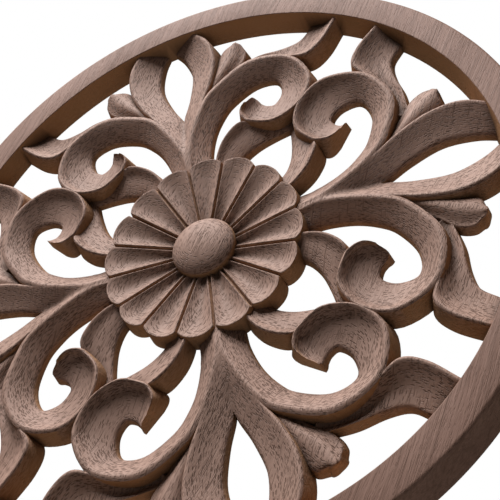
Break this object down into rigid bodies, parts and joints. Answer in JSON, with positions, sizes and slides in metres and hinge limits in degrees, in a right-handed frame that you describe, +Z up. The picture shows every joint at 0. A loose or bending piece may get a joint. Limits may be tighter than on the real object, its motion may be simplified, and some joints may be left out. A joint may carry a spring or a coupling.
{
  "type": "carved wooden applique",
  "caption": "Round pierced carved wooden applique: a plain ring, a petalled rosette with a domed centre, and scrolled leaf sprays.",
  "frame": {"origin": "centre of the flat back, behind the rosette", "axes": "+Y into the wall behind the flat back, +Z up, +X to the viewer's right; the carved front looks along -Y"},
  "size_m": [0.3082, 0.012, 0.3082],
  "materials": {
    "wood": "bare, sanded"
  },
  "bodies": {
    "root": {"carved_applique": "wood"}
  },
  "joints": []
}
